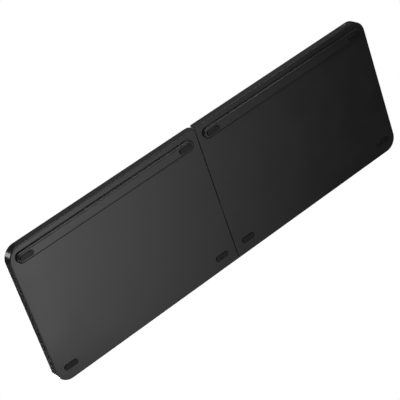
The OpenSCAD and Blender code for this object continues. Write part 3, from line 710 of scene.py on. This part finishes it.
def case_shell(own_sign, screws):
    """The tray of one half. own_sign says on which side of mid depth its part of the cable sleeve stands."""
    shell = Shell()
    other_sleeve = sorted((0.0, -own_sign * (sleeve_to + sleeve_gap)))
    scoops = [(-pocket_to, -pocket_from), tuple(other_sleeve), (pocket_from, pocket_to)]
    under, inside = outer_skin(shell, scoops)
    bar_foot, bar_face = bar_skin(shell)

    recess = {spot: stadium(spot, foot_length + 2 * snug, foot_width + 2 * snug) for spot in feet}
    shell.fill([under, bar_foot, *[outline for (x, y), outline in recess.items() if y < 0]], 0.0)
    shell.fill([bar_face, *[outline for (x, y), outline in recess.items() if y > 0]], -bar_height)
    for (x, y), outline in recess.items():
        base = foot_base(y)
        shell.rows([at_height(outline, base), at_height(outline, base + foot_recess)])
        hole = [circle((x, y), screw_head_room)] if (x, y) in screws else []
        shell.fill([outline, *hole], base + foot_recess)
        if hole:
            screwed_spot(shell, x, y)

    cells = bar_cells()
    cell_floor = floor_top - bar_height
    for cell in cells:
        shell.rows([at_height(cell, floor_top), at_height(cell, cell_floor)])
        shell.fill([cell], cell_floor)
    shell.fill([inside, *[circle(spot, boss_radius) for spot in screws], *cells], floor_top)

    near = [(sleeve_bore, sleeve_from), (knuckle_radius - rim_break, sleeve_from)]
    outside = [(knuckle_radius, sleeve_from + rim_break), (knuckle_radius, sleeve_to - rim_break)]
    far = [(knuckle_radius - rim_break, sleeve_to), (sleeve_bore, sleeve_to)]
    tube = near + outside + far + near[:1]
    shell.turned([(radius, own_sign * y) for radius, y in tube], (0, 0, axis_z), "y", 48)
    return shell


left_screws = [(x, y) for x, y in feet if x == foot_xs[0] or y < 0]
left_shell, right_shell = case_shell(-1, left_screws), case_shell(1, feet)
print("screws under the feet:", len(left_screws), "and", len(feet))

# %% [markdown]
# Inside, low ribs carry the key plate over the empty right half. In the left half a fence holds the battery
# and four posts carry the circuit board. They stand on the floor as plain blocks, as moulded ribs do, and
# a peg beside each inner screw keeps the hinge leaves in line.

# %% Pegs and ribs
sunk = 0.05
plate_z = 2.6
peg_y, peg_radius = 22.0, 1.2
rib = 0.8


def posts(shell, places, radius, top):
    """Round posts from the floor up to one height."""
    for place in places:
        shell.block(circle(place, radius, 24), floor_top - sunk, top)


for shell in (left_shell, right_shell):
    pegs = [(foot_xs[0], side * peg_y) for side in (-1, 1)]
    posts(shell, pegs, boss_radius, boss_top - leaf_plate)
    posts(shell, pegs, peg_radius, boss_top)

rib_spacing = (half_length - foot_side_inset) / 4
rib_xs = rib_spacing + foot_xs[0] / 2 + rib_spacing * np.arange(3)
for x in rib_xs:
    right_shell.block(rectangle(x, x + rib, feet[0][1], bar_y - bar_width), floor_top - sunk, plate_z)
for y in (feet[0][1] / 2, 0):
    across = rectangle(rib_xs[0] - rib_spacing / 2, rib_xs[2] + rib_spacing / 2, y, y + rib)
    right_shell.block(across, floor_top - sunk, plate_z)
print("ribs at x", np.round(rib_xs, 1))

# %% Fence round the battery and posts under the board
fence_top = plate_z - 0.6
post_radius, post_side_inset, post_front_inset, post_rear_inset = 1.5, 3, 3, 12
battery, board = level_points("battery"), level_points("main_board")
pouch_low, pouch_high = battery.min(axis=0)[:2], battery.max(axis=0)[:2]
fence_x, fence_y = -(pouch_low[0] + pouch_high[0]) / 2, (pouch_low[1] + pouch_high[1]) / 2
reach_x, reach_y = (pouch_high - pouch_low) / 2 + snug + rib
for side in (-1, 1):
    across = sorted((fence_y + side * reach_y, fence_y + side * (reach_y - rib)))
    along = sorted((fence_x + side * reach_x, fence_x + side * (reach_x - rib)))
    fences = [rectangle(fence_x - reach_x, fence_x + reach_x, *across)]
    fences += [rectangle(*along, fence_y - reach_y, fence_y + reach_y)]
    for outline in fences:
        left_shell.block(outline, floor_top - sunk, fence_top)

board_low, board_high = board.min(axis=0), board.max(axis=0)
post_xs = (post_side_inset - board_high[0], -board_low[0] - post_side_inset)
post_ys = (board_low[1] + post_front_inset, board_high[1] - post_rear_inset)
posts(left_shell, [(x, y) for x in post_xs for y in post_ys], post_radius, board_low[2])
print("board", np.round(board_low, 1), np.round(board_high, 1))

# %% [markdown]
# The charging socket looks out through a slot in the left half's rear wall. The wall is flat there, and no
# row of the skin passes round the slot, so it is cut out of the finished shell with a Boolean, which is
# applied at once. A mould makes such a slot with a side core that slides out before the case does.

# %% The slot for the charging socket
socket_box = level_points("usb_c_port")
socket_low, socket_high = socket_box.min(axis=0), socket_box.max(axis=0)
port_x, port_z = -(socket_low[0] + socket_high[0]) / 2, (socket_low[2] + socket_high[2]) / 2
port_width, port_height = socket_high[0] - socket_low[0], socket_high[2] - socket_low[2]
port_back, port_mouth = socket_low[1], socket_high[1]


def upright(outline, y):
    """Stands a flat outline up in the rear wall: its second number becomes the height, at depth y."""
    return np.column_stack([outline[:, 0], np.full(len(outline), y), outline[:, 1]])


def cut_out(mesh, cutter):
    """Takes the cutter's space out of the mesh, and marks the sharp edges of what is left again."""
    body, tool = add_object("body", mesh), add_object("tool", cutter)
    cut = body.modifiers.new("cut", "BOOLEAN")
    cut.object, cut.solver, cut.operation = tool, "EXACT", "DIFFERENCE"
    made = bpy.data.meshes.new_from_object(body.evaluated_get(bpy.context.evaluated_depsgraph_get()))
    for o in (body, tool):
        bpy.data.objects.remove(o)
    return tidied(made)


slot_cutter = Shell()
slot_outline = stadium((port_x, port_z), port_width + 2 * snug, port_height + 2 * snug)
slot_cutter.solid([upright(slot_outline, y) for y in (half_depth + 1, port_back)])
left_mesh = cut_out(left_shell.mesh("case_left", -1), slot_cutter.mesh("slot", -1))
piece("case_left", left_mesh, "left_half", case_plastic, "case", "bottom_case_left")
piece("case_right", right_shell.mesh("case_right"), "right_half", case_plastic, "case", "bottom_case_right")


# %% [markdown]
# The socket itself is a drawn steel shell with a rounded lip and a thin tongue inside, which carries the
# contacts. From behind only its mouth shows, so the lip and the dark depth behind it are what count.

# %% Charging socket
socket_sheet = 0.3
tongue_size = (6.7, 4.4, 0.7)
contact_count, contact_pitch = 12, 0.5
contact_width, contact_length, contact_height, contact_start = 0.26, 3.4, 0.06, 0.4
tongue_nose, tongue_root = 0.25, 0.02


def socket_shell_mesh():
    """Back wall, outside, rounded lip and inside of the shell, all as upright slots of shrinking width."""
    shell = Shell()
    lip = socket_sheet / 2
    a = np.linspace(0, math.pi, 7)
    insets = np.concatenate([[0], lip - lip * np.cos(a), [socket_sheet]])
    depths = np.concatenate([[port_back], port_mouth - lip + lip * np.sin(a), [port_back + socket_sheet]])

    def ring(inset, y):
        return upright(stadium((port_x, port_z), port_width - 2 * inset, port_height - 2 * inset), y)

    rows = [ring(inset, y) for inset, y in zip(insets, depths)]
    shell.solid(rows)
    return shell.mesh("socket", -1)


def tongue_mesh():
    """A thin board with a rounded front edge, standing out from the back wall of the shell."""
    shell = Shell()
    width, length, thickness = tongue_size
    start = port_back + socket_sheet - tongue_root
    tip = start + length
    ends = [(0, start), (0, tip - tongue_nose), (0.1, tip - 0.08), (tongue_nose, tip)]
    rows = [upright(stadium((port_x, port_z), width - inset, thickness - inset, 4), y) for inset, y in ends]
    shell.solid(rows)
    return shell.mesh("tongue", -1)


def contacts_mesh():
    """Twelve flat contacts on each face of the tongue, half sunk into it."""
    shell = Shell()
    start = port_back + socket_sheet + contact_start
    for i in range(contact_count):
        x = port_x + (i - (contact_count - 1) / 2) * contact_pitch
        flat = rectangle(x - contact_width / 2, x + contact_width / 2, start, start + contact_length)
        for z in (port_z - tongue_size[2] / 2, port_z + tongue_size[2] / 2):
            shell.block(flat, z - contact_height / 2, z + contact_height / 2)
    return shell.mesh("contacts", -1)


piece("socket", socket_shell_mesh(), "left_half", socket_shell, "socket_shell", "usb_c_port")
piece("socket_tongue", tongue_mesh(), "left_half", frame_plastic, "socket_shell")
piece("socket_contacts", contacts_mesh(), "left_half", contact_gold, "socket_shell")

# %% [markdown]
# ## Rubber feet
# Eight soft slots are glued into the recesses. Their outer edge is rounded, and because the keyboard leans
# on them, their soles are level with the table and not with the case. So the last rows of each foot take
# their height from the table's plane.

# %% Feet
foot_edge, glue_line = 0.35, 0.02


def above_table(outline, height):
    """Level height at which each point of an outline lies the given height above the table."""
    return (height - ORIGIN[2] / MM - outline[:, 1] * LEAN[2, 1]) / LEAN[2, 2]


def feet_mesh(side):
    """Four pads of one half: glued end, side, rounded edge down to the table, and the flat sole."""
    shell = Shell()
    for x, y in feet:
        top = foot_base(y) + foot_recess - glue_line
        rows = [at_height(stadium((x, y), foot_length, foot_width), top)]
        for inset, height in round_over(foot_edge, 5)[::-1]:
            outline = stadium((x, y), foot_length - 2 * inset, foot_width - 2 * inset)
            rows.append(at_height(outline, above_table(outline, height)))
        shell.solid(rows)
    return shell.mesh("feet", side)


for side, half in ((-1, "left"), (1, "right")):
    piece(f"feet_{half}", feet_mesh(side), f"{half}_half", foot_rubber, "foot_rubber", f"rubber_feet_{half}")

# %% [markdown]
# ## Key caps
# A cap is a low pillow with leaning sides, a soft edge and a top that dips in the middle. Sculpting one and
# scaling it would stretch its corners on the wide keys, so each is made in rows for its own width. The
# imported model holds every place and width: a cap is one island of joined faces in its node.

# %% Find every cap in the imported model
cap_wall, cap_draft, cap_corner, cap_round, dish_depth = 0.7, 0.35, 1.2, 0.3, 0.25
skirt_break, cap_support, least_corner = 0.05, 0.1, 0.5
row_pitch = 17.4


def islands(node):
    """Boxes of a node's separate solids, in level millimetres, found by walking along the edges. A set gives
    its corners in no fixed order, so the boxes are sorted, and every run draws the caps in the same one."""
    work = merged(frame["nodes"][node].data)
    left, found = set(work.verts), []
    while left:
        reached, wave = set(), {left.pop()}
        while wave:
            reached |= wave
            wave = {e.other_vert(v) for v in wave for e in v.link_edges} - reached
        left -= reached
        points = (np.array([v.co for v in reached]) - ORIGIN) @ LEAN / MM
        found.append((points.min(axis=0), points.max(axis=0)))
    work.free()
    return sorted(found, key=lambda box: tuple(box[0]))


cap_nodes = [name for name in frame["nodes"] if body_of(name) not in ("left_half", "right_half")]
caps = {name: islands(name) for name in cap_nodes}
print(len(caps), "key nodes with", sum(len(found) for found in caps.values()), "caps")


# %% One cap
def rounded(middle, width, depth, radius):
    """A rectangle with round corners, from the front middle of its right side round to the left one. Its
    straight sides are split in eight, so that a top laid over it can follow the dish."""
    reach_x, reach_y = width / 2 - radius, depth / 2 - radius
    side = np.column_stack([np.full(7, width / 2), np.linspace(-reach_y, reach_y, 9)[1:-1]])
    front, rear = arc((reach_x, -reach_y), radius, -90, 0, 6), arc((reach_x, reach_y), radius, 0, 90, 6)
    right = np.concatenate([front, side, rear])
    return np.concatenate([right, right[::-1] * (-1, 1)]) + middle


def dish(y, middle, depth, top):
    """Height of a cap's top: lowest in the middle, rising with the square of the distance to its ends."""
    return top - dish_depth * (1 - (2 * (y - middle) / depth) ** 2)


def cap_rows(shell, low, high):
    """Ceiling, inner wall, skirt, leaning side, soft edge and dished top of the cap that fills a box."""
    middle, (width, depth) = (low + high)[:2] / 2, (high - low)[:2]

    def ring(inset, z=None, drop=0.0):
        corner = max(cap_corner - inset / 2, least_corner)
        outline = rounded(middle, width - 2 * inset, depth - 2 * inset, corner)
        if z is None:
            z = dish(outline[:, 1], middle[1], depth, high[2]) - drop
        return at_height(outline, z)

    ceiling = high[2] - dish_depth - cap_wall
    rows = [ring(cap_wall, ceiling), ring(cap_wall, low[2])]
    rows += [ring(skirt_break, low[2]), ring(0, low[2] + skirt_break)]
    rows += [ring(0.6 * cap_draft, None, cap_round + cap_support)]
    rows += [ring(0.7 * cap_draft + inset, None, drop) for inset, drop in round_over(cap_round, 5)[::-1]]
    rows += [ring(0.7 * cap_draft + cap_round + cap_support)]
    shell.rows(rows)
    shell.ruled(rows[0])
    shell.ruled(rows[-1])


# %% Every cap, and the ribs on the two home keys
bump_reach, bump_radius, bump_inset = 1.8, 0.35, 3.0


def home_bump(shell, low, high):
    """A low rib near the front of a cap, for a finger to feel: a bar with ball ends, sunk to its middle."""
    a = np.linspace(0, math.pi / 2, 5)
    end = np.stack([bump_radius * np.sin(a), bump_reach - bump_radius * (1 - np.cos(a))], axis=1)
    profile = [(radius, -along) for radius, along in end] + [tuple(p) for p in end[::-1]]
    shell.turned(profile, ((low[0] + high[0]) / 2, low[1] + bump_inset, high[2] - bump_radius), "x", 16)


for name, found in caps.items():
    shell = Shell()
    for low, high in found:
        cap_rows(shell, low, high)
        if name in ("key_f", "key_j"):
            home_bump(shell, low, high)
    piece(f"caps_{name}", shell.mesh(name), body_of(name), key_plastic, "keycap", name)

# %% [markdown]
# ## Legends
# The signs are printed on the caps in one pale ink. A print is far thinner than a hair, but as a separate
# thin sheet it needs no picture and no mapping: Blender's own letters are turned into a mesh, and each
# point is then laid on the dish. Letters, signs, plain words and arrows are all there is.

# %% What stands on each cap, from left to right
UP, DOWN, LEFT, RIGHT = "up", "down", "left", "right"
SIGNS = {
    "left": [
        ["Esc", "1 !", "2 @", "3 #", "4 $", "5 %", "6 ^"],
        ["Tab", "Q", "W", "E", "R", "T"],
        ["Caps", "A", "S", "D", "F", "G"],
        ["Shift", "Z", "X", "C", "V", "B"],
        ["Fn", "Ctrl", "Alt", "Cmd", ""],
    ],
    "right": [
        ["7 &", "8 *", "9 (", "0 )", "- _", "= +", "Back"],
        ["Y", "U", "I", "O", "P", "[ {", "] }", "\\ |"],
        ["H", "J", "K", "L", "; :", "' \"", "Enter"],
        ["N", "M", ", <", ". >", "/ ?", UP, "Shift"],
        ["", "Alt", "Ctrl", LEFT, DOWN, RIGHT],
    ],
}
letter_size, word_size, sign_size, sign_offset, arrow_radius = 4.4, 2.7, 3.4, 2.6, 1.5
ink_thickness, ink_lift = 0.03, 0.005


def letters(text, size):
    """Flat letters of the built-in typeface with a little thickness: points and faces round their middle."""
    curve = bpy.data.curves.new("letters", "FONT")
    curve.body, curve.size = text, size
    curve.extrude, curve.resolution_u = ink_thickness / 2, 3
    curve.align_x, curve.align_y = "CENTER", "CENTER"
    written = add_object("letters", curve)
    mesh = bpy.data.meshes.new_from_object(written.evaluated_get(bpy.context.evaluated_depsgraph_get()))
    bpy.data.objects.remove(written)
    points = np.empty(len(mesh.vertices) * 3)
    mesh.vertices.foreach_get("co", points)
    return points.reshape(-1, 3), [list(polygon.vertices) for polygon in mesh.polygons]


def arrow(heading):
    """A small solid triangle that points up, down, left or right."""
    turns = {RIGHT: 0, UP: 1, LEFT: 2, DOWN: 3}[heading]
    a = np.radians([0, 120, 240]) + turns * math.pi / 2
    flat = arrow_radius * np.stack([np.cos(a), np.sin(a)], axis=1)
    points = np.concatenate([at_height(flat, z) for z in (-ink_thickness / 2, ink_thickness / 2)])
    return points, [[2, 1, 0], [3, 4, 5], [0, 1, 4, 3], [1, 2, 5, 4], [2, 0, 3, 5]]


def marks_for(sign):
    """The marks of one cap, each with its offset from the middle: letter, two signs, word or arrow."""
    if sign in (UP, DOWN, LEFT, RIGHT):
        return [(arrow(sign), (0, 0))]
    if " " in sign:
        lower, upper = sign.split(" ")
        pair = ((lower, -sign_offset), (upper, sign_offset))
        return [(letters(text, sign_size), (0, y)) for text, y in pair]
    size = letter_size if len(sign) == 1 else word_size
    return [(letters(sign, size), (0, 0))] if sign else []


def lay_on_cap(shell, low, high, sign):
    """Moves marks to the cap's middle and lifts each point by the dish's height there."""
    middle, depth = (low + high) / 2, high[1] - low[1]
    for (points, faces), offset in marks_for(sign):
        placed = points + (*(middle[:2] + offset), 0)
        placed[:, 2] += dish(placed[:, 1], middle[1], depth, high[2]) + ink_lift
        shell.faces.extend([[i + shell.count for i in face] for face in faces])
        shell.smooth.extend([False] * len(faces))
        shell.points.append(placed)
        shell.count += len(placed)


# %% Put every sign on its cap
rear_row_y = max(high[1] for found in caps.values() for low, high in found)
by_place = {}
for name, found in caps.items():
    for low, high in found:
        half = "left" if high[0] < 0 else "right"
        row = int((rear_row_y - (low[1] + high[1]) / 2) / row_pitch)
        by_place.setdefault((half, row), []).append((name, low, high))

prints = {name: Shell() for name in caps}
for (half, row), found in by_place.items():
    found.sort(key=lambda cap: cap[1][0])
    for sign, (name, low, high) in zip(SIGNS[half][row], found, strict=True):
        lay_on_cap(prints[name], low, high, sign)
for name, shell in prints.items():
    if shell.count:
        piece(f"print_{name}", shell.mesh(name), body_of(name), legend_ink, "keycap")

# %% [markdown]
# ## What gives way under a key
# Two crossed links and a rubber dome stand under each cap, and both fold down as the key goes down. If they
# stayed as they are, they would come up through a pressed cap. A hinge for every link would need two more
# joints for each key, so instead the links and the domes below the caps of one node are pieces of their own,
# each with its own copy of its mesh. Nothing flattens them here, so they keep their full height.

# %% Heights under the caps
hair = 0.01
link_points = level_points("scissor_links_left")
sheet_top, ceiling = link_points[:, 2].min() - hair, link_points[:, 2].max()
print(f"links from {sheet_top:.2f} to {ceiling:.2f} mm")


def flatten_with(made):
    """Gives a piece its own copy of its mesh; nothing flattens it as the key goes down."""
    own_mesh(made)


# %% Links
def links_mesh(name, node, boxes):
    """A node's packed triangles that lie below the given caps, chosen by where their first corner is."""
    points, source = level_points(node), frame["nodes"][node].data
    source.calc_loop_triangles()
    triangles = np.empty(len(source.loop_triangles) * 3, int)
    source.loop_triangles.foreach_get("vertices", triangles)
    triangles = triangles.reshape(-1, 3)
    flat = points[triangles[:, 0], :2]
    below = np.any([np.all((flat > low[:2]) & (flat < high[:2]), axis=1) for low, high in boxes], axis=0)
    used, order = np.unique(triangles[below], return_inverse=True)
    shell = Shell()
    shell.add(points[used], order.reshape(-1, 3), True)
    return shell.mesh(name)


# %% Domes
dome_foot, dome_neck, plunger, plunger_round = 2.5, 1.35, 1.25, 0.12
cone_share, neck_step = 0.6, 0.05


def domes_mesh(name, boxes):
    """A dome in the middle of each cap: a cone whose radius falls from foot to neck by (1 + cos a) / 2,
    which makes a soft S, and a plunger with a rounded end on top of it."""
    shell = Shell()
    cone_top = sheet_top + cone_share * (ceiling - sheet_top)
    radii = dome_neck + (dome_foot - dome_neck) * (1 + np.cos(np.linspace(0, math.pi, 9))) / 2
    heights = np.linspace(sheet_top, cone_top, 9)
    profile = [(0, sheet_top), *zip(radii, heights), (plunger, cone_top + neck_step)]
    profile += [(plunger - inset, ceiling - z) for inset, z in round_over(plunger_round, 3)[::-1]]
    profile += [(0, ceiling)]
    for low, high in boxes:
        shell.turned(profile, (*(low + high)[:2] / 2, 0), "z", 24)
    return shell.mesh(name)


for name, boxes in caps.items():
    half = "left" if boxes[0][0][0] < 0 else "right"
    body = f"{half}_half"
    links_node, sheet_node = f"scissor_links_{half}", f"dome_sheet_{half}"
    links = links_mesh(f"links_{name}", links_node, boxes)
    flatten_with(piece(f"links_{name}", links, body, link_plastic, "link_plastic", links_node))
    domes = domes_mesh(f"domes_{name}", boxes)
    flatten_with(piece(f"domes_{name}", domes, body, silicone, "silicone", sheet_node))


# %% [markdown]
# In such keyboards the sheet under the domes is one moulding with them, but it stays flat on its plate
# while they give way. So it is a piece by itself here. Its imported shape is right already, and only the
# domes have to be cut off it.


# %% The sheet that the domes stand on
def sheet_mesh(node):
    """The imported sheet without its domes: cut off just below its upper face, with the cut closed again."""
    mesh = frame["nodes"][node].data.copy()
    work = merged(mesh)
    every = work.verts[:] + work.edges[:] + work.faces[:]
    cut = to_row((0, 0, sheet_top - hair))
    bmesh.ops.bisect_plane(work, geom=every, plane_co=cut, plane_no=LEAN @ (0, 0, 1), clear_outer=True)
    bmesh.ops.holes_fill(work, edges=[edge for edge in work.edges if edge.is_boundary], sides=0)
    work.to_mesh(mesh)
    work.free()
    mesh.materials.clear()
    return tidied(mesh)


for half in ("left", "right"):
    node = f"dome_sheet_{half}"
    piece(f"sheet_{half}", sheet_mesh(node), f"{half}_half", silicone, "silicone", node)

# %% [markdown]
# ## Key frames and hinge leaves
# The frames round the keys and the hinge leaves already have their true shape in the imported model, with
# all openings. What they lack is the small break that a mould or a press leaves on an edge, which is where
# light catches. Drawing them again would gain nothing, so a copy is merged, its flat faces are joined, and
# a narrow bevel is put on it.


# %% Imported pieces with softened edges
def softened(node, name, material, slot, width):
    """Copies a node, joins its loose triangles, breaks its edges by a bevel and shades flat faces flat."""
    mesh = frame["nodes"][node].data.copy()
    work = merged(mesh)
    bmesh.ops.dissolve_limit(work, angle_limit=math.radians(0.5), verts=work.verts, edges=work.edges)
    for face in work.faces:
        face.smooth = True
    work.to_mesh(mesh)
    work.free()
    mesh.materials.clear()
    mesh.set_sharp_from_angle(angle=sharp_angle)
    made = piece(name, mesh, body_of(node), material, slot, node)
    bevel = made.modifiers.new("edge", "BEVEL")
    bevel.width, bevel.segments = width * MM, 2
    bevel.limit_method, bevel.angle_limit = "ANGLE", math.radians(40)
    weighted = made.modifiers.new("shade", "WEIGHTED_NORMAL")
    weighted.keep_sharp = True


for half in ("left", "right"):
    softened(f"key_frame_{half}", f"frame_{half}", frame_plastic, "key_frame", 0.12)
    softened(f"hinge_leaf_{half}", f"leaves_{half}", hinge_steel, "hinge_steel", 0.08)


# %% [markdown]
# The hinge pins are ground steel rods. Their ends have a small round, so that they go into the knuckles
# without scraping, and a turned profile gives the shaft and both rounds in one go.


# %% Hinge pins
def pins_mesh():
    """Two ground pins on the fold's axis, with a small round at each end."""
    shell = Shell()
    pin_radius, pin_round, pin_from, pin_to = 0.8, 0.2, 20.0, 38.0
    for side in (-1, 1):
        ends = [(pin_radius - inset, z) for inset, z in round_over(pin_round, 4)]
        profile = [(0, pin_from)] + [(radius, pin_from + z) for radius, z in ends]
        profile += [(radius, pin_to - z) for radius, z in ends[::-1]] + [(0, pin_to)]
        shell.turned([(radius, side * y) for radius, y in profile], (0, 0, axis_z), "y")
    return shell.mesh("pins")


piece("pins", pins_mesh(), "left_half", pin_steel, "pin_steel", "hinge_pins")

# %% [markdown]
# ## Finishes of what stays
# Plates, board, battery, magnets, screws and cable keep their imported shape: they are flat stampings, plain
# pouches and turned pins, which more faces wouldn't improve. Some of them show through the gaps round the
# keys and at the hinge, so each takes the finish of its real material.

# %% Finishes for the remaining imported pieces
finish_of = {
    "key_plate": stamped_plate, "main_board": circuit_board,
    "battery": battery_foil, "case_screws": screw_steel, "magnets": magnet_nickel, "flex_cable": cable_film,
}
for name, o in frame["nodes"].items():
    finish = next((material for start, material in finish_of.items() if name.startswith(start)), None)
    if finish:
        o.data.materials.clear()
        o.data.materials.append(finish)
print("kept as packed:", sum(name.startswith(tuple(finish_of)) for name in frame["nodes"]))

# %% [markdown]
# ## Size
# The looks should keep the imported size, so both boxes are put side by side and their difference is
# printed.

# %% Compare the boxes and finish
looks_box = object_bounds()
sizes = {"cad": [list(corner) for corner in cad_box], "looks": [list(corner) for corner in looks_box]}
differs = (np.array(sizes["looks"]) - np.array(sizes["cad"])) / MM
print("box differs by", np.round(differs, 3).tolist(), "mm")
